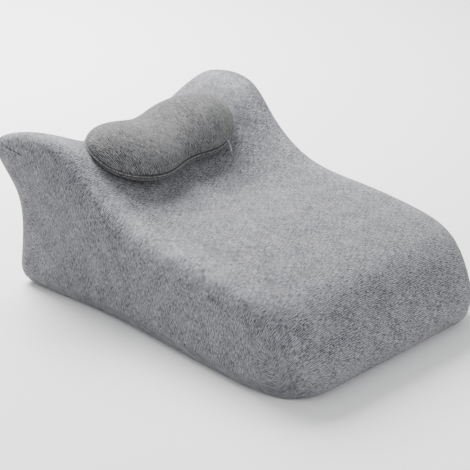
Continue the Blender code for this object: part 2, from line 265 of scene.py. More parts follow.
# The studio: half the floor's side, the light all round, and the square soft lights
FLOOR_REACH = 6.0
SKY_COLOR = (0.97, 0.98, 1, 1)
SKY_STRENGTH = 0.86
Lamp = namedtuple("Lamp", "name place aim size power")
LAMPS = [Lamp("key_light", (0.45, 1.95, 2.15), (-0.05, 0, 0.1), 1.7, 280),
         Lamp("nose_light", (0.5, -2.6, 1.0), (0, 0, 0.1), 1.4, 15)]

# Smallest length that is divided by, and the nudge that keeps a row of numbers rising
TINY = 1e-9
NUDGE = 1e-6


def natural_spline(knots, values, at):
    """Cubic curve through values at knots, straight at both ends."""
    gaps = np.diff(knots)
    system = np.eye(len(knots))
    right = np.zeros(values.shape)
    for i in range(1, len(knots) - 1):
        system[i, i - 1:i + 2] = gaps[i - 1], 2 * (gaps[i - 1] + gaps[i]), gaps[i]
        right[i] = 6 * ((values[i + 1] - values[i]) / gaps[i] - (values[i] - values[i - 1]) / gaps[i - 1])
    bend = np.linalg.solve(system, right)
    k = np.clip(np.searchsorted(knots, at, side="right") - 1, 0, len(knots) - 2)
    shape = (-1,) + (1,) * (values.ndim - 1)
    past = (at - knots[k]).reshape(shape)
    left = (knots[k + 1] - at).reshape(shape)
    gap = gaps[k].reshape(shape)
    return (bend[k] * left ** 3 / (6 * gap) + bend[k + 1] * past ** 3 / (6 * gap)
            + (values[k] / gap - bend[k] * gap / 6) * left
            + (values[k + 1] / gap - bend[k + 1] * gap / 6) * past)


def running_length(points, axis):
    """Length along one axis of a grid of points, from its first row or column."""
    steps = np.linalg.norm(np.diff(points, axis=axis), axis=-1)
    start = np.zeros_like(np.take(steps, [0], axis=axis))
    return np.concatenate([start, np.cumsum(steps, axis=axis)], axis=axis)


def eased(share):
    """A share held between 0 and 1 and eased at both: three times its square less twice its cube."""
    share = np.clip(share, 0, 1)
    return share * share * (3 - 2 * share)


def smooth_rows(rows, counts):
    """Rows along a smooth curve through the given ones, by the length of their first two columns.

    The curve is cut at its furthest +Y, which is a horn's tip, and where it turns down at the nose. Each
    stretch is divided evenly into its count of steps.
    """
    steps = np.linalg.norm(np.diff(rows[:, :2], axis=0), axis=1)
    knots = np.concatenate([[0], np.cumsum(np.sqrt(steps))])
    fine = natural_spline(knots, rows, np.linspace(0, knots[-1], SPLINE_SAMPLES))
    run = running_length(fine[:, :2], 0)
    tip = fine[:, 0].argmax()
    brow = np.flatnonzero(fine[:, 1] > BROW_HEIGHT)[-1]
    cuts = run[[0, tip, brow, -1]]
    even = np.concatenate([np.linspace(low, high, count + 1)[:-1]
                           for low, high, count in zip(cuts[:-1], cuts[1:], counts)] + [cuts[-1:]])
    return np.stack([np.interp(even, run, column) for column in fine.T], axis=1)


def outline_loop():
    """Rows like OUTLINE's, with y for run, once round the wedge: up its back, over and along its base."""
    rows = np.array([(BASE_LENGTH / 2 - s.run_edge, s.z_edge, BASE_LENGTH / 2 - s.run_mid, s.z_mid, s.round)
                     for s in OUTLINE])
    upper = smooth_rows(rows, (FACES_END - FACES_FOOT, FACES_TOP, FACES_END - FACES_FOOT))
    angles = np.radians(np.linspace(-90, 0, FACES_FOOT + 1)[:-1])
    back_foot = np.tile(upper[0], (FACES_FOOT, 1))
    nose_foot = np.tile(upper[-1], (FACES_FOOT, 1))
    for foot, turn, toward in ((back_foot, angles, 1), (nose_foot, angles[::-1], -1)):
        foot[:, [0, 2]] += toward * FOOT_RADIUS * (np.cos(turn) - 1)[:, None]
        foot[:, [1, 3]] = FOOT_RADIUS * (1 + np.sin(turn))[:, None]
    share = np.linspace(0, 1, FACES_TOP + 1)[1:-1, None]
    base = nose_foot[-1] * (1 - share) + back_foot[0] * share
    return np.concatenate([back_foot, upper, nose_foot, base])


def wedge_strip(loop):
    """Points of the wedge from side to side, over the loop: a grid of columns by rows of the loop.

    A point's outline blends from the middle's to the edge's by half of one minus a cosine, whose angle is pi
    times the share of the half width raised to DISH_POWER. At each side it turns in by a quarter round of
    the row's radius, whose sine and cosine are raised to EDGE_POWER.
    """
    along = np.roll(loop[:, :2], -1, axis=0) - np.roll(loop[:, :2], 1, axis=0)
    along /= np.linalg.norm(along, axis=1)[:, None]
    outward = np.stack([along[:, 1], -along[:, 0]], axis=1)
    radius = loop[:, 4] / NOMINAL_WIDTH
    quarter = np.radians(np.linspace(0, 90, FACES_ROUND + 1))
    inner = np.linspace(-1, 1, FACES_ACROSS + 1)[:, None] * (0.5 - radius)
    right = 0.5 - radius + radius * np.sin(quarter)[1:, None] ** EDGE_POWER
    x = np.concatenate([-right[::-1], inner, right])
    turned = np.concatenate([quarter[:0:-1], np.zeros(FACES_ACROSS + 1), quarter[1:]])
    inset = loop[:, 4] * (1 - np.maximum(np.cos(turned), 0) ** EDGE_POWER)[:, None]
    blend = 0.5 - 0.5 * np.cos(pi * np.abs(2 * x) ** DISH_POWER)
    y = loop[:, 2] * (1 - blend) + loop[:, 0] * blend - outward[:, 0] * inset
    z = loop[:, 3] * (1 - blend) + loop[:, 1] * blend - outward[:, 1] * inset
    return np.stack([x, y, z], axis=2)


def side_rims(ring):
    """The four stretches of a side's rim, of any numbers: back upwards, top, nose upwards and base."""
    back = ring[:FACES_END + 1]
    top = ring[FACES_END:FACES_END + FACES_TOP + 1]
    nose = ring[FACES_END + FACES_TOP:2 * FACES_END + FACES_TOP + 1][::-1]
    base = np.concatenate([ring[2 * FACES_END + FACES_TOP:], ring[:1]])[::-1]
    return back, top, nose, base


def side_points(ring):
    """Points of a side between the rim's four stretches: back to nose, base to top.

    They lie straight between base and top, moved by how far each end departs from its own chord. That fades
    out away from the end by the power SIDE_FADE.
    """
    back, top, nose, base = side_rims(ring)
    back, nose, top, base = back[None], nose[None], top[:, None], base[:, None]
    a = np.linspace(0, 1, FACES_TOP + 1)[:, None, None]
    c = np.linspace(0, 1, FACES_END + 1)[None, :, None]
    from_back = back - (1 - c) * base[:1] - c * top[:1]
    from_nose = nose - (1 - c) * base[-1:] - c * top[-1:]
    return (1 - c) * base + c * top + (1 - a) ** SIDE_FADE * from_back + a ** SIDE_FADE * from_nose


def side_numbers(ring, first_inner):
    """Vertex numbers of a side patch: its rim is a column of the strip, its inside is new points."""
    numbers = np.empty((FACES_TOP + 1, FACES_END + 1), int)
    numbers[0], numbers[:, -1], numbers[-1], numbers[:, 0] = side_rims(ring)
    inside = (FACES_TOP - 1, FACES_END - 1)
    numbers[1:-1, 1:-1] = first_inner + np.arange(inside[0] * inside[1]).reshape(inside)
    return numbers


def quads(numbers, flip=False):
    """Four-sided faces between neighbours of a grid of vertex numbers."""
    faces = np.stack([numbers[:-1, :-1], numbers[1:, :-1], numbers[1:, 1:], numbers[:-1, 1:]], axis=-1)
    faces = faces.reshape(-1, 4)
    return faces[:, ::-1] if flip else faces


def round_nose_corners(points):
    """Rounds the nose's upright corners in plan: in each corner's box the square is bent onto a disc."""
    start_x = NOMINAL_WIDTH / 2 - CORNER_X
    start_y = BASE_LENGTH / 2 - CORNER_Y
    a = np.clip((np.abs(points[:, 0]) * NOMINAL_WIDTH - start_x) / CORNER_X, 0, 1)
    c = np.clip((-points[:, 1] - start_y) / CORNER_Y, 0, 1)
    points[:, 0] += np.sign(points[:, 0]) * a * (np.sqrt(1 - c ** 2 / 2) - 1) * CORNER_X / NOMINAL_WIDTH
    points[:, 1] -= c * (np.sqrt(1 - a ** 2 / 2) - 1) * CORNER_Y


def set_widths(points):
    """Gives x its width in metres: x times the smooth curve through WIDTHS at its share of the length."""
    share = np.clip(0.5 - points[:, 1] / BASE_LENGTH, -SHARE_MARGIN, 1 + SHARE_MARGIN)
    table = np.array(WIDTHS)
    width = natural_spline(table[:, 0], table[:, 1], share)
    points[:, 0] *= width


def wedge_surface():
    """Points, faces and, per face corner, two sets of the cloth's coordinates and turn.

    The first set runs along the loop and across it, so its second coordinate follows the knit's streaks:
    across the top and the ends, and up the sides. The second set carries the streaks of each end on round
    its upright corner, and turn gives how much it counts there: all at the corner, nothing further in.
    """
    loop = outline_loop()
    strip = wedge_strip(loop)
    columns, rows = strip.shape[:2]
    numbers = np.arange(columns * rows).reshape(columns, rows)
    closed = np.concatenate([numbers, numbers[:, :1]], axis=1)
    parts = [strip.reshape(-1, 3)]
    faces = [quads(closed, flip=True)]
    patches = []
    first_inner = numbers.size
    for column, flip in ((0, False), (-1, True)):
        patch = side_points(strip[column])
        patch_numbers = side_numbers(numbers[column], first_inner)
        faces.append(quads(patch_numbers, flip))
        patches.append((column, flip, patch_numbers))
        parts.append(patch[1:-1, 1:-1].reshape(-1, 3))
        first_inner += (FACES_TOP - 1) * (FACES_END - 1)
    points = np.concatenate(parts)
    round_nose_corners(points)
    set_widths(points)
    points[:, 1] -= (points[:, 1].min() + points[:, 1].max()) / 2

    sheet = points[closed]
    along = running_length(sheet, 1)
    level = FACES_END + FACES_TOP // 2
    along += along[columns // 2, level] - along[:, level:level + 1]
    across = running_length(sheet, 0)
    across -= across[columns // 2]
    strip_cloth = np.stack([along, across], axis=-1).reshape(-1, 2)
    corner_numbers = quads(np.arange(len(strip_cloth)).reshape(columns, rows + 1), flip=True)
    cloths = [strip_cloth[corner_numbers].reshape(-1, 2)]
    turned = [cloths[0].copy()]
    turns = [np.zeros(len(cloths[0]))]
    for column, flip, patch_numbers in patches:
        cloth, second, turn = side_cloth(points[patch_numbers], along[column], across[column])
        corner_numbers = quads(np.arange(patch_numbers.size).reshape(patch_numbers.shape), flip)
        cloths.append(cloth.reshape(-1, 2)[corner_numbers].reshape(-1, 2))
        turned.append(second.reshape(-1, 2)[corner_numbers].reshape(-1, 2))
        turns.append(turn.reshape(-1)[corner_numbers].reshape(-1))
    return points, *(np.concatenate(some) for some in (faces, cloths, turned, turns))


def side_cloth(patch, along, across):
    """Both sets of the cloth's coordinates on a side patch, and turn, from those of its rim.

    In the first set the streaks run straight down from the top rim: at each y the first coordinate is the
    rim's there, and the second goes on by the drop from the rim. In the other set they run on round the
    nearer end: the first is that end's, and the second goes on by the length from it.
    """
    sign = np.sign(across[0])
    back_along, top_along, nose_along, _ = side_rims(along[:-1])
    back_across, top_across, nose_across, _ = side_rims(across[:-1])
    rim = patch[:, -1]
    fall = np.maximum.accumulate(-rim[:, 1] + np.arange(len(rim)) * NUDGE)
    y = -patch[:, :, 1]
    beyond = np.minimum(y - fall[0], 0) + np.maximum(y - fall[-1], 0)
    height = np.interp(y, fall, rim[:, 2])
    first = np.interp(y, fall, top_along) + beyond
    second = np.interp(y, fall, top_across) + sign * (height - patch[:, :, 2])
    from_back = running_length(patch, 0)
    from_nose = running_length(patch[::-1], 0)[::-1]
    near_back = from_back < from_nose
    second_along = np.where(near_back, back_along[None], nose_along[None])
    second_across = np.where(near_back, back_across[None] + sign * from_back,
                             nose_across[None] + sign * from_nose)
    turn = eased(1 - np.minimum(from_back, from_nose) / TURN_REACH)
    return np.stack([first, second], axis=-1), np.stack([second_along, second_across], axis=-1), turn


def painted_edge_shading(points, count):
    """Painted highlight in a band inside the knit's long edges, and painted shade down its sides.

    count is the number of points in the strip; the rest are the sides'. The painted highlight band lies
    inside each long edge, from the horn's tip on, falls off as a bell curve, and fades out towards the nose.
    """
    columns = 2 * FACES_ROUND + FACES_ACROSS + 1
    strip = points[:count].reshape(columns, -1, 3)
    inward = running_length(strip, 0)
    inward = np.minimum(inward, inward[-1:] - inward)
    share = (np.arange(strip.shape[1]) - FACES_END + PAINTED_HIGHLIGHT_ROWS) / FACES_TOP
    grow = PAINTED_SHADING_TIP + (1 - PAINTED_SHADING_TIP) * np.clip(share / PAINTED_SHADING_GROW, 0, 1)
    band = np.exp(-((inward - PAINTED_HIGHLIGHT_INSET * grow) / PAINTED_HIGHLIGHT_WIDTH) ** 2)
    side = eased((PAINTED_SHADE_INSET * grow - inward) / PAINTED_SHADE_EASE)
    band *= np.clip(share / PAINTED_HIGHLIGHT_START, 0, 1) * np.clip((1 - share) / PAINTED_HIGHLIGHT_FADE, 0, 1)
    # Factor on the colour: painted highlight in the band, painted shade towards and down the sides
    top = 1 + PAINTED_HIGHLIGHT * band - PAINTED_SIDE_SHADE * side
    return np.concatenate([top.reshape(-1), np.full(len(points) - count, 1 - PAINTED_SIDE_SHADE)])


def new_object(name, points, faces, material=None, cloth=None, turned=None, turn=None, painted_shading=None):
    """A smooth mesh object. Cloth's coordinates and turn lie on its face corners, the painted shading on its
    points.
    """
    mesh = bpy.data.meshes.new(name)
    mesh.from_pydata(np.asarray(points).tolist(), [], np.asarray(faces).tolist())
    for label, values in (("cloth", cloth), ("turned", turned)):
        if values is not None:
            mesh.uv_layers.new(name=label).data.foreach_set("uv", values.astype(np.float32).ravel())
    if turn is not None:
        mesh.attributes.new("turn", "FLOAT", "CORNER").data.foreach_set("value", turn.astype(np.float32))
    if painted_shading is not None:
        mesh.attributes.new("painted_shading", "FLOAT", "POINT").data.foreach_set("value", painted_shading.astype(np.float32))
    mesh.shade_smooth()
    if material is not None:
        mesh.materials.append(material)
    made = bpy.data.objects.new(name, mesh)
    bpy.context.scene.collection.objects.link(made)
    return made


def subdivide(piece):
    """One applied level of Catmull-Clark subdivision."""
    modifier = piece.modifiers.new("round", "SUBSURF")
    modifier.levels = modifier.render_levels = 1
    modifier.uv_smooth = "PRESERVE_CORNERS"
    apply_modifiers(piece)


def apply_modifiers(piece):
    """Replaces a piece's mesh by what its modifiers make of it."""
    depsgraph = bpy.context.evaluated_depsgraph_get()
    mesh = bpy.data.meshes.new_from_object(piece.evaluated_get(depsgraph), preserve_all_data_layers=True,
                                           depsgraph=depsgraph)
    piece.modifiers.clear()
    piece.data = mesh


def outward(piece):
    """Turns all of a piece's faces outwards, and shades them flat."""
    work = bmesh.new()
    work.from_mesh(piece.data)
    bmesh.ops.recalc_face_normals(work, faces=work.faces)
    work.to_mesh(piece.data)
    work.free()
    piece.data.shade_flat()


class Seat:
    """Where the head cushion lies on the slope, and how far the slope departs from a plane there."""

    def __init__(self, points, faces):
        self.tree = BVHTree.FromPolygons(points.tolist(), faces.tolist())
        rise_x = self.height(HEAD_X + SLOPE_STEP, HEAD_Y) - self.height(HEAD_X - SLOPE_STEP, HEAD_Y)
        rise_y = self.height(HEAD_X, HEAD_Y + SLOPE_STEP) - self.height(HEAD_X, HEAD_Y - SLOPE_STEP)
        self.normal = Vector((-rise_x, -rise_y, 2 * SLOPE_STEP)).normalized()
        level = Vector((cos(HEAD_TURN), sin(HEAD_TURN), 0))
        self.long = (level - self.normal * level.dot(self.normal)).normalized()
        self.short = self.normal.cross(self.long)
        self.origin = Vector((HEAD_X, HEAD_Y, self.height(HEAD_X, HEAD_Y)))

    def height(self, x, y):
        """Height of the wedge's upper surface over a point of the floor."""
        return self.tree.ray_cast(Vector((x, y, HORN_HEIGHT + RAY_START)), Vector((0, 0, -1)))[0].z

    def offset(self, x, y):
        """How far the slope stands above the seat's plane, measured along the plane's normal."""
        start = self.origin + self.long * x + self.short * y + self.normal * RAY_START
        hit = self.tree.ray_cast(start, -self.normal)[0]
        return RAY_START - (start - hit).length

    def place(self, x, y, up):
        """World points of plane coordinates and heights over the plane."""
        axes = [np.array(axis) for axis in (self.origin, self.long, self.short, self.normal)]
        return axes[0] + x[..., None] * axes[1] + y[..., None] * axes[2] + up[..., None] * axes[3]


def head_plan(disc_x, disc_y):
    """Plan of the head cushion from points of a unit disc: blunt ends, two lobes and a waist between them."""
    x = disc_x + HEAD_BLUNTNESS * (disc_x - disc_x ** 3)
    y = disc_y * HEAD_HALF_WIDTH * (1 - HEAD_WAIST * np.exp(-(disc_x / HEAD_WAIST_REACH) ** 2))
    return x * HEAD_LENGTH / 2, y


def head_panels(seat):
    """The head cushion's upper and lower panel as square grids of points, their rims a welt apart.

    A square grid is bent onto a disc whose radius is the sine of a quarter turn times the share outwards.
    The top stands over the rim by the full height times the square root of one less the radius raised to
    HEAD_FULLNESS. The underside falls from it in the same way, until the slope stops it.
    """
    side = np.linspace(-1, 1, FACES_HEAD + 1)
    a, b = np.meshgrid(side, side, indexing="ij")
    disc_x, disc_y = a * np.sqrt(1 - b * b / 2), b * np.sqrt(1 - a * a / 2)
    share = np.hypot(disc_x, disc_y)
    radius = np.sin(pi / 2 * np.minimum(share, 1))
    scale = np.where(share > 0, radius / np.maximum(share, TINY), 1)
    x, y = head_plan(disc_x * scale, disc_y * scale)
    crown = np.sqrt(np.clip(1 - radius ** HEAD_FULLNESS, 0, 1))
    slope = np.vectorize(seat.offset)(x, y)
    rim = np.maximum(HEAD_SEAM + slope * HEAD_FOLLOW + tan(HEAD_TIP) * y, slope + HEAD_LEAST_SEAM)
    along = 2 * x / HEAD_LENGTH
    thick = HEAD_THICK * (1 + HEAD_GROW * along - HEAD_SADDLE * np.exp(-(along / HEAD_SADDLE_REACH) ** 2))
    top = seat.place(x, y, rim + (thick - HEAD_SEAM) * crown)
    drop = WELT[-1][1] + HEAD_SEAM * crown * UNDER_FALL
    return top, seat.place(x, y, np.maximum(rim - drop, slope + SEAT_GAP))


def ways_out(seam, seat):
    """Ways out of a closed line of points, in the seat's plane and at right angles to the line."""
    out = np.cross(np.roll(seam, -1, axis=0) - np.roll(seam, 1, axis=0), np.array(seat.normal))
    out /= np.linalg.norm(out, axis=1)[:, None]
    return out * np.sign(((seam - seam.mean(axis=0)) * out).sum())


def head_surface(seat):
    """Points, faces, cloth's coordinates and painted shading of the head cushion, and its rim's points and
    ways out.

    The top panel is blown up a little as cloth. WELT is carried round under its rim and joins both panels.
    Painted shade darkens the grooves beside the welt, and a painted highlight lightens its crest.
    """
    top, under = head_panels(seat)
    grid = np.arange(top.size // 3).reshape(top.shape[:2])
    ring = ring_of(grid)
    top = blown_up(top.reshape(-1, 3), quads(grid), ring).reshape(top.shape)
    seam = top.reshape(-1, 3)[ring]
    out = ways_out(seam, seat)
    rows = [seam + out * reach - np.array(seat.normal) * fall for reach, fall in WELT[:-1]]
    first = 2 * grid.size + np.arange(len(ring))
    rings = [ring, *(first + i * len(ring) for i in range(len(rows))), grid.size + ring]
    band = np.array(rings)
    band = np.concatenate([band, band[:, :1]], axis=1)
    points = np.concatenate([top.reshape(-1, 3), under.reshape(-1, 3), *rows])
    faces = np.concatenate([quads(grid), quads(grid + grid.size, flip=True), quads(band)])

    band_points = points[band]
    round_it = running_length(band_points[:1], 1).repeat(len(band), axis=0)
    band_cloth = np.stack([round_it, running_length(band_points, 0)], axis=-1).reshape(-1, 2)
    band_numbers = np.arange(band.size).reshape(band.shape)
    cloth = np.concatenate([cloth_of(top)[quads(grid)].reshape(-1, 2),
                            cloth_of(under)[quads(grid, flip=True)].reshape(-1, 2),
                            band_cloth[quads(band_numbers)].reshape(-1, 2)])
    # Painted shade in the grooves beside the welt, and a painted highlight on its crest
    painted_shading = np.ones(len(points))
    for row, value in GROOVE_PAINTED_SHADING:
        painted_shading[rings[row]] = value
    return points, faces, cloth, painted_shading, seam, out


def zip_line(seam, out, seat):
    """Even points along the zip's stretch of the rim, and the ways out, along and up there."""
    from_origin = seam - np.array(seat.origin)
    angle = np.arctan2(from_origin @ np.array(seat.short) / HEAD_HALF_WIDTH,
                       from_origin @ np.array(seat.long) / (HEAD_LENGTH / 2))
    chosen = np.flatnonzero((angle > ZIP_START) & (angle < ZIP_END))
    chosen = chosen[np.argsort(angle[chosen])]
    run = running_length(seam[chosen], 0)
    at = np.arange(0, run[-1], TOOTH_PITCH / 2)
    line = np.stack([np.interp(at, run, column) for column in seam[chosen].T], axis=1)
    ways = np.stack([np.interp(at, run, column) for column in out[chosen].T], axis=1)
    ways /= np.linalg.norm(ways, axis=1)[:, None]
    along = np.gradient(line, axis=0)
    along /= np.linalg.norm(along, axis=1)[:, None]
    return line, ways, along, np.cross(ways, along)


def swept(line, ways, ups, section):
    """Points and faces of a closed section of (out, up) pairs carried along a line, with ends."""
    section = np.array(section)
    points = line[:, None] + ways[:, None] * section[None, :, :1] + ups[:, None] * section[None, :, 1:]
    numbers = np.arange(len(line) * len(section)).reshape(len(line), -1)
    faces = quads(np.concatenate([numbers, numbers[:, :1]], axis=1)).tolist()
    faces += [numbers[0].tolist(), numbers[-1, ::-1].tolist()]
    return points.reshape(-1, 3), faces


def box(middle, axes, halves):
    """Points of a box round a middle, with half its sizes along three unit axes, and its faces."""
    corners = np.array([(i, j, k) for i in (-1, 1) for j in (-1, 1) for k in (-1, 1)], float)
    points = np.asarray(middle) + (corners * np.array(halves)) @ np.array(axes)
    faces = [(0, 1, 3, 2), (4, 6, 7, 5), (0, 4, 5, 1), (2, 3, 7, 6), (0, 2, 6, 4), (1, 5, 7, 3)]
    return points, faces


def joined(parts):
    """One list of points and one of faces from several."""
    points, faces, first = [], [], 0
    for some, theirs in parts:
        points.append(some)
        faces += [tuple(number + first for number in face) for face in theirs]
        first += len(some)
    return np.concatenate(points), faces


def zip_surface(line, ways, along, ups):
    """The zip: a thin tape along the seam, and a coil of small teeth on it that alternate up and down.

    The line has two points for each tooth, and a tooth is a box on every second one.
    """
    parts = [swept(line, ways, ups, TAPE)]
    for i in range(1, len(line) - 1, 2):
        rise = TOOTH_LIFT + (TOOTH_RISE if i % 4 == 1 else -TOOTH_RISE)
        middle = line[i] + ways[i] * TOOTH_OUT + ups[i] * rise
        parts.append(box(middle, (ways[i], along[i], ups[i]), TOOTH_HALVES))
    return joined(parts)


def pull_surface(line, ways, along, ups, seat):
    """The zip's slider at its end, and the pull that hangs from it: a plate with round ends and a slot.

    The plate lies between its own outline and its slot's. It hangs down, swung out by PULL_SWING, and bends
    by PULL_BEND times the square of the share of its length.
    """
    up = np.array(seat.normal)
    out = ways[-1] - up * (ways[-1] @ up)
    out /= np.linalg.norm(out)
    side = np.cross(up, out)
    down = out * sin(PULL_SWING) - up * cos(PULL_SWING)
    face = np.cross(down, side)
    head = line[-1] + ways[-1] * SLIDER_OUT
    slider = box(head, (ways[-1], along[-1], ups[-1]), SLIDER_HALVES)
    turn = np.linspace(0, pi, PULL_STEPS + 1)

    def stadium(half_width, top, foot):
        """An outline with straight sides and a half circle at each end: its points across and along."""
        across = np.concatenate([np.cos(turn), -np.cos(turn)]) * half_width
        length = np.concatenate([foot - half_width + np.sin(turn) * half_width,
                                 top + half_width - np.sin(turn) * half_width])
        return across, length

    rims = [stadium(PULL_WIDTH / 2, 0, PULL_LENGTH),
            stadium(SLOT_WIDTH / 2, SLOT_TOP, SLOT_TOP + SLOT_LENGTH)]
    layers = []
    for lift in (-PULL_THICK / 2, PULL_THICK / 2):
        for across, length in rims:
            bend = PULL_BEND * (length / PULL_LENGTH) ** 2
            layers.append(head + out * PULL_STAND + across[:, None] * side + length[:, None] * down
                          + (bend + lift)[:, None] * face)
    count = len(layers[0])
    under, under_slot, over, over_slot = (np.arange(count) + i * count for i in range(4))
    faces = []
    for a, b in ((under, under_slot), (under_slot, over_slot), (over_slot, over), (over, under)):
        faces += [(a[i], a[(i + 1) % count], b[(i + 1) % count], b[i]) for i in range(count)]
    return joined([slider, (np.concatenate(layers), faces)])


def ring_of(grid):
    """Numbers round the edge of a square grid."""
    return np.concatenate([grid[:-1, 0], grid[-1, :-1], grid[:0:-1, -1], grid[0, :0:-1]])


def blown_up(points, faces, rim):
    """A panel's points after a short cloth simulation under pressure from inside, its rim pinned.

    No point moves further than BLOW_CAP.
    """
    scene = bpy.context.scene
    panel = new_object("panel", points, faces)
    panel.vertex_groups.new(name="rim").add(rim.tolist(), 1.0, "REPLACE")
    settings = panel.modifiers.new("cloth", "CLOTH").settings
    settings.quality = BLOW_QUALITY
    settings.mass = BLOW_MASS
    settings.tension_stiffness = settings.compression_stiffness = settings.shear_stiffness = BLOW_STIFFNESS
    settings.bending_stiffness = BLOW_BENDING
    settings.vertex_group_mass = "rim"
    settings.use_pressure = True
    settings.uniform_pressure_force = BLOW_PRESSURE
    settings.effector_weights.gravity = 0
    for number in range(1, BLOW_FRAMES + 1):
        scene.frame_set(number)
    mesh = panel.evaluated_get(bpy.context.evaluated_depsgraph_get()).to_mesh()
    blown = np.empty(points.size)
    mesh.vertices.foreach_get("co", blown)
    moved = blown.reshape(-1, 3) - points
    length = np.linalg.norm(moved, axis=1)[:, None]
    bpy.data.objects.remove(panel)
    scene.frame_set(1)
    return points + moved * np.minimum(1, BLOW_CAP / np.maximum(length, TINY))


def cloth_of(panel):
    """The cloth's coordinates on a square panel: running lengths along its two ways, from its middle."""
    middle = len(panel) // 2
    along, across = running_length(panel, 0), running_length(panel, 1)
    along -= along[middle]
    across -= across[:, middle:middle + 1]
    return np.stack([along, across], axis=-1).reshape(-1, 2)


class Tree:
    """A material's node tree, with short ways to add nodes to it."""

    def __init__(self, name):
        self.material = bpy.data.materials.new(name)
        self.material.use_nodes = True
        self.nodes = self.material.node_tree.nodes
        self.links = self.material.node_tree.links
        self.shader = self.nodes["Principled BSDF"]

    def set(self, socket, value):
        """Sets a socket, or links it where the value is another node's output."""
        if isinstance(value, bpy.types.NodeSocket):
            self.links.new(value, socket)
        elif value is not None:
            socket.default_value = value

    def math(self, operation, a, b=None, clamp=False):
        """A sum, product or other operation on one or two numbers."""
        node = self.nodes.new("ShaderNodeMath")
        node.operation = operation
        node.use_clamp = clamp
        self.set(node.inputs[0], a)
        self.set(node.inputs[1], b)
        return node.outputs[0]

    def scaled(self, vector, factors):
        """A vector or colour, each part times its own factor."""
        return self.vector_math("MULTIPLY", vector, factors)

    def vector_math(self, operation, a, b, output=0):
        """An operation on two vectors, with a vector or, from the output called Value, a number."""
        node = self.nodes.new("ShaderNodeVectorMath")
        node.operation = operation
        self.set(node.inputs[0], a)
        self.set(node.inputs[1], b)
        return node.outputs[output]

    def mirrored_place(self):
        """The piece's own coordinates, with x counted outwards on both sides."""
        split = self.nodes.new("ShaderNodeSeparateXYZ")
        self.links.new(self.nodes.new("ShaderNodeTexCoord").outputs["Object"], split.inputs[0])
        place = self.nodes.new("ShaderNodeCombineXYZ")
        self.links.new(self.math("ABSOLUTE", split.outputs[0]), place.inputs[0])
        self.links.new(split.outputs[1], place.inputs[1])
        self.links.new(split.outputs[2], place.inputs[2])
        return place.outputs[0]

    def line_distance(self, place, start, end):
        """Distance of a place from a straight line between two points, and the share along that line."""
        way = Vector(end) - Vector(start)
        start_to_place = self.vector_math("SUBTRACT", place, start)
        share = self.math("DIVIDE", self.vector_math("DOT_PRODUCT", start_to_place, way, "Value"),
                          way.length_squared, clamp=True)
        node = self.nodes.new("ShaderNodeVectorMath")
        node.operation = "SCALE"
        node.inputs[0].default_value = way
        self.links.new(share, node.inputs["Scale"])
        return self.vector_math("DISTANCE", start_to_place, node.outputs[0], "Value"), share

    def fall(self, distance, reach):
        """One at no distance, falling smoothly to nothing at reach."""
        node = self.nodes.new("ShaderNodeMapRange")
        node.interpolation_type = "SMOOTHSTEP"
        self.set(node.inputs["Value"], distance)
        for name, value in (("From Min", 0), ("From Max", reach), ("To Min", 1), ("To Max", 0)):
            node.inputs[name].default_value = value
        return node.outputs[0]

    def part(self, vector, index):
        """One of a vector's three parts."""
        node = self.nodes.new("ShaderNodeSeparateXYZ")
        self.set(node.inputs[0], vector)
        return node.outputs[index]

    def noise(self, vector, detail=0.0):
        """Smooth noise between 0 and 1 that varies over a length of about one."""
        node = self.nodes.new("ShaderNodeTexNoise")
        self.set(node.inputs["Vector"], vector)
        node.inputs["Scale"].default_value = 1.0
        node.inputs["Detail"].default_value = detail
        return node.outputs["Fac"]

    def uv(self, name):
        """One of the piece's own sets of cloth's coordinates."""
        node = self.nodes.new("ShaderNodeUVMap")
        node.uv_map = name
        return node.outputs[0]

    def attribute(self, name, output="Fac"):
        """A value that the piece's mesh carries."""
        node = self.nodes.new("ShaderNodeAttribute")
        node.attribute_name = name
        return node.outputs[output]

    def mix(self, share, a, b):
        """The number a where share is 0, b where it is 1, and between them in proportion."""
        node = self.nodes.new("ShaderNodeMix")
        self.set(node.inputs[0], share)
        self.set(node.inputs[2], a)
        self.set(node.inputs[3], b)
        return node.outputs[0]

    def ramp(self, value, stops):
        """A colour by value, from (position, colour) stops."""
        node = self.nodes.new("ShaderNodeValToRGB")
        elements = node.color_ramp.elements
        while len(elements) < len(stops):
            elements.new(0.5)
        for element, (position, color) in zip(elements, stops):
            element.position = position
            element.color = (*color, 1)
        self.set(node.inputs[0], value)
        return node.outputs[0]

    def bump(self, height, distance):
        """Gives the surface a relief, where a height of one stands for distance."""
        node = self.nodes.new("ShaderNodeBump")
        node.inputs["Distance"].default_value = distance
        self.set(node.inputs["Height"], height)
        self.links.new(node.outputs[0], self.shader.inputs["Normal"])


def streaks(tree, cloth, stretch, row_share):
    """Light and dark streaks of the heather yarn at the cloth's coordinates, about 0.5 on the mean.

    They are a weighed sum of long and short streaks and wide patches of noise, and of a sine wave across the
    rows, whose angle wanders by more noise. Where the knit is stretched, all of it is longer and thinner.
    """
    cloth = tree.scaled(cloth, (stretch ** 0.5, 1 / stretch, 1))
    total = 0.0
    short_share = SHORT_SHARE + WEDGE_ROWS - row_share
    for size, share in ((LONG_STREAK, LONG_SHARE), (SHORT_STREAK, short_share), (PATCH, PATCH_SHARE)):
        grain = tree.noise(tree.scaled(cloth, (1 / size[0], 1 / size[1], 1)), STREAK_DETAIL)
        total = tree.math("ADD", tree.math("MULTIPLY", grain, share), total)
    wander = tree.noise(tree.scaled(cloth, (1 / ROW_WANDER[0], 1 / ROW_WANDER[1], 1)), STREAK_DETAIL)
    turn = tree.math("ADD", tree.math("MULTIPLY", tree.part(cloth, 0), 2 * pi / ROW),
                     tree.math("MULTIPLY", wander, ROW_SWING))
    rows = tree.math("ADD", tree.math("MULTIPLY", tree.math("SINE", turn), 0.5), 0.5)
    return tree.math("ADD", tree.math("MULTIPLY", rows, row_share), total)


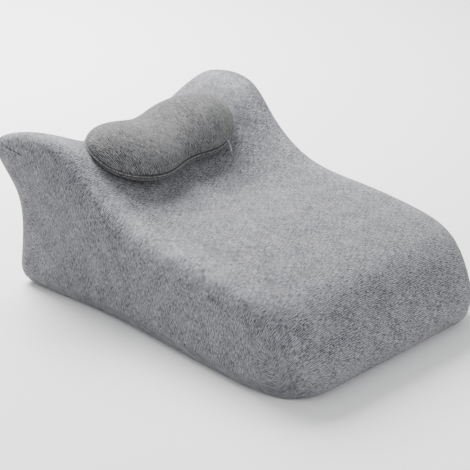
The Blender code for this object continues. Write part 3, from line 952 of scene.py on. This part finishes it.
def stitches(tree, cloth):
    """Fine grain of the knit's stitches, as noise."""
    return tree.noise(tree.scaled(cloth, (1 / STITCH[0], 1 / STITCH[1], 1)))


def dart_lines(points, faces):
    """Each dart as DART_PIECES + 1 points on the wedge's surface, and its strength."""
    tree = BVHTree.FromPolygons(points.tolist(), faces.tolist())
    shares = np.linspace(0, 1, DART_PIECES + 1)
    return [([tree.find_nearest(Vector(dart.start).lerp(Vector(dart.end), share))[0] for share in shares],
             dart.strength) for dart in DARTS]


def darts(tree, lines):
    """The short seams at the horns' tips and the nose's bottom corners: their groove and their gathers.

    The groove is one on a dart's line and falls to nothing at DART_WIDTH; it sinks the relief and is painted
    as shade in the colour. The gathers are a sine wave along the line, which fades out beside it at
    GATHER_REACH.
    """
    place = tree.mirrored_place()
    groove, gathers = 0.0, 0.0
    for line, strength in lines:
        for start, end in zip(line, line[1:]):
            distance, share = tree.line_distance(place, start, end)
            cut = tree.math("MULTIPLY", tree.fall(distance, DART_WIDTH), strength)
            groove = tree.math("MAXIMUM", groove, cut)
            wave = tree.math("SINE", tree.math("MULTIPLY", share, 2 * pi * DART_GATHERS))
            gather = tree.math("MULTIPLY", wave, tree.fall(distance, GATHER_REACH))
            gathers = tree.math("ADD", gathers, tree.math("MULTIPLY", gather, strength))
    return groove, gathers


def heather_knit(name, yarns, stretch, row_share, lines=()):
    """Grey heather jersey: streaks in its colour, and streaks and fine stitches in its bump.

    Only the wedge's knit has darts, with painted shade in their grooves, and goes over to its turned
    coordinates at upright corners. Either knit's colour is scaled by the painted light and shade its mesh
    carries.
    """
    tree = Tree(name)
    cloth = tree.uv("cloth")
    fibre = streaks(tree, cloth, stretch, row_share)
    if lines:
        fibre = tree.mix(tree.attribute("turn"), fibre, streaks(tree, tree.uv("turned"), stretch, row_share))
    color = tree.ramp(fibre, list(zip(YARN_STOPS, yarns)))
    # Times the painted light and shade that the mesh carries at its points
    color = tree.scaled(color, tree.attribute("painted_shading", "Vector"))
    relief = tree.math("ADD", fibre, tree.math("MULTIPLY", stitches(tree, cloth), STITCH_RELIEF))
    if lines:
        groove, gathers = darts(tree, lines)
        # Painted shade darkens the colour in each dart's groove
        groove_painted_shade = tree.math("SUBTRACT", 1.0, tree.math("MULTIPLY", groove, DART_PAINTED_SHADE))
        color = tree.vector_math("MULTIPLY", color, groove_painted_shade)
        relief = tree.math("SUBTRACT", relief, tree.math("MULTIPLY", groove, DART_DEPTH))
        relief = tree.math("ADD", relief, tree.math("MULTIPLY", gathers, GATHER_DEPTH))
    tree.links.new(color, tree.shader.inputs["Base Color"])
    tree.shader.inputs["Roughness"].default_value = KNIT_ROUGHNESS
    tree.shader.inputs["Specular IOR Level"].default_value = KNIT_SPECULAR
    tree.shader.inputs["Sheen Weight"].default_value = KNIT_SHEEN
    tree.shader.inputs["Sheen Roughness"].default_value = SHEEN_ROUGHNESS
    tree.bump(relief, BUMP_HEIGHT)
    return tree.material


def plain(name, finish):
    """A material of one colour and roughness."""
    tree = Tree(name)
    tree.shader.inputs["Base Color"].default_value = (*finish.color, 1)
    tree.shader.inputs["Roughness"].default_value = finish.roughness
    return tree.material


def add_camera():
    """A camera whose pinhole stands where the fit to the photograph puts it."""
    back = Vector((sin(CAMERA_AZIMUTH) * cos(CAMERA_ELEVATION), -cos(CAMERA_AZIMUTH) * cos(CAMERA_ELEVATION),
                   sin(CAMERA_ELEVATION)))
    right = Vector((cos(CAMERA_AZIMUTH), sin(CAMERA_AZIMUTH), 0))
    up = back.cross(right)
    aim_x = (AIM_PIXEL[0] - PHOTO_SIZE / 2) / FOCAL_PIXELS
    aim_y = (AIM_PIXEL[1] - PHOTO_SIZE / 2) / FOCAL_PIXELS
    place = (back - right * aim_x + up * aim_y) * CAMERA_DISTANCE + Vector((0, AIM_Y, 0))
    data = bpy.data.cameras.new("camera")
    data.sensor_width = SENSOR
    data.lens = FOCAL_PIXELS / PHOTO_SIZE * SENSOR
    camera = bpy.data.objects.new("camera", data)
    camera.matrix_world = Matrix.Translation(place) @ Matrix((right, up, back)).transposed().to_4x4()
    bpy.context.scene.collection.objects.link(camera)
    bpy.context.scene.camera = camera


def add_light(lamp):
    """A square soft light at its place, turned to its aim."""
    data = bpy.data.lights.new(lamp.name, "AREA")
    data.size = lamp.size
    data.energy = lamp.power
    light = bpy.data.objects.new(lamp.name, data)
    light.location = lamp.place
    light.rotation_euler = (Vector(lamp.aim) - Vector(lamp.place)).to_track_quat("-Z", "Y").to_euler()
    bpy.context.scene.collection.objects.link(light)


def add_studio():
    """A pale floor, the soft lights, and an even pale surrounding light."""
    mesh = bpy.data.meshes.new("floor")
    corners = [(x * FLOOR_REACH, y * FLOOR_REACH, 0) for x, y in ((-1, -1), (1, -1), (1, 1), (-1, 1))]
    mesh.from_pydata(corners, [], [(0, 1, 2, 3)])
    mesh.materials.append(plain("floor_paint", FLOOR_PAINT))
    floor = bpy.data.objects.new("floor", mesh)
    bpy.context.scene.collection.objects.link(floor)
    world = bpy.data.worlds.new("studio")
    world.use_nodes = True
    sky = world.node_tree.nodes["Background"]
    sky.inputs["Color"].default_value = SKY_COLOR
    sky.inputs["Strength"].default_value = SKY_STRENGTH
    bpy.context.scene.world = world
    for lamp in LAMPS:
        add_light(lamp)


def main():
    """Camera and studio, then the wedge, and the head cushion with its zip on the wedge's slope."""
    add_camera()
    add_studio()
    points, faces, cloth, turned, turn = wedge_surface()
    wedge_knit = heather_knit("wedge_knit", WEDGE_YARNS, WEDGE_STRETCH, WEDGE_ROWS, dart_lines(points, faces))
    sides = 2 * (FACES_TOP - 1) * (FACES_END - 1)
    # Painted highlight along the long edges and painted shade down the sides, as a factor on the colour
    painted_shading = painted_edge_shading(points, len(points) - sides)
    wedge = new_object("wedge_cover", points, faces, wedge_knit, cloth, turned, turn, painted_shading)
    subdivide(wedge)
    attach(wedge, "root")
    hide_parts("wedge_cushion")

    seat = Seat(points, faces)
    points, faces, cloth, painted_shading, seam, out = head_surface(seat)
    head_knit = heather_knit("head_knit", HEAD_YARNS, HEAD_STRETCH, HEAD_ROWS)
    head = new_object("head_cover", points, faces, head_knit, cloth, painted_shading=painted_shading)
    subdivide(head)
    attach(head, "root")
    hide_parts("head_cushion")

    line = zip_line(seam, out, seat)
    tape = new_object("zip_tape", *zip_surface(*line), plain("zip_finish", ZIP_FINISH))
    pull = new_object("zip_slider", *pull_surface(*line, seat), plain("pull_finish", PULL_FINISH))
    for piece, node, slot in ((tape, "head_zip", "zip_tape"), (pull, "zip_pull", "pull_grey")):
        outward(piece)
        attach(piece, "root")
        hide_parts(node)


main()
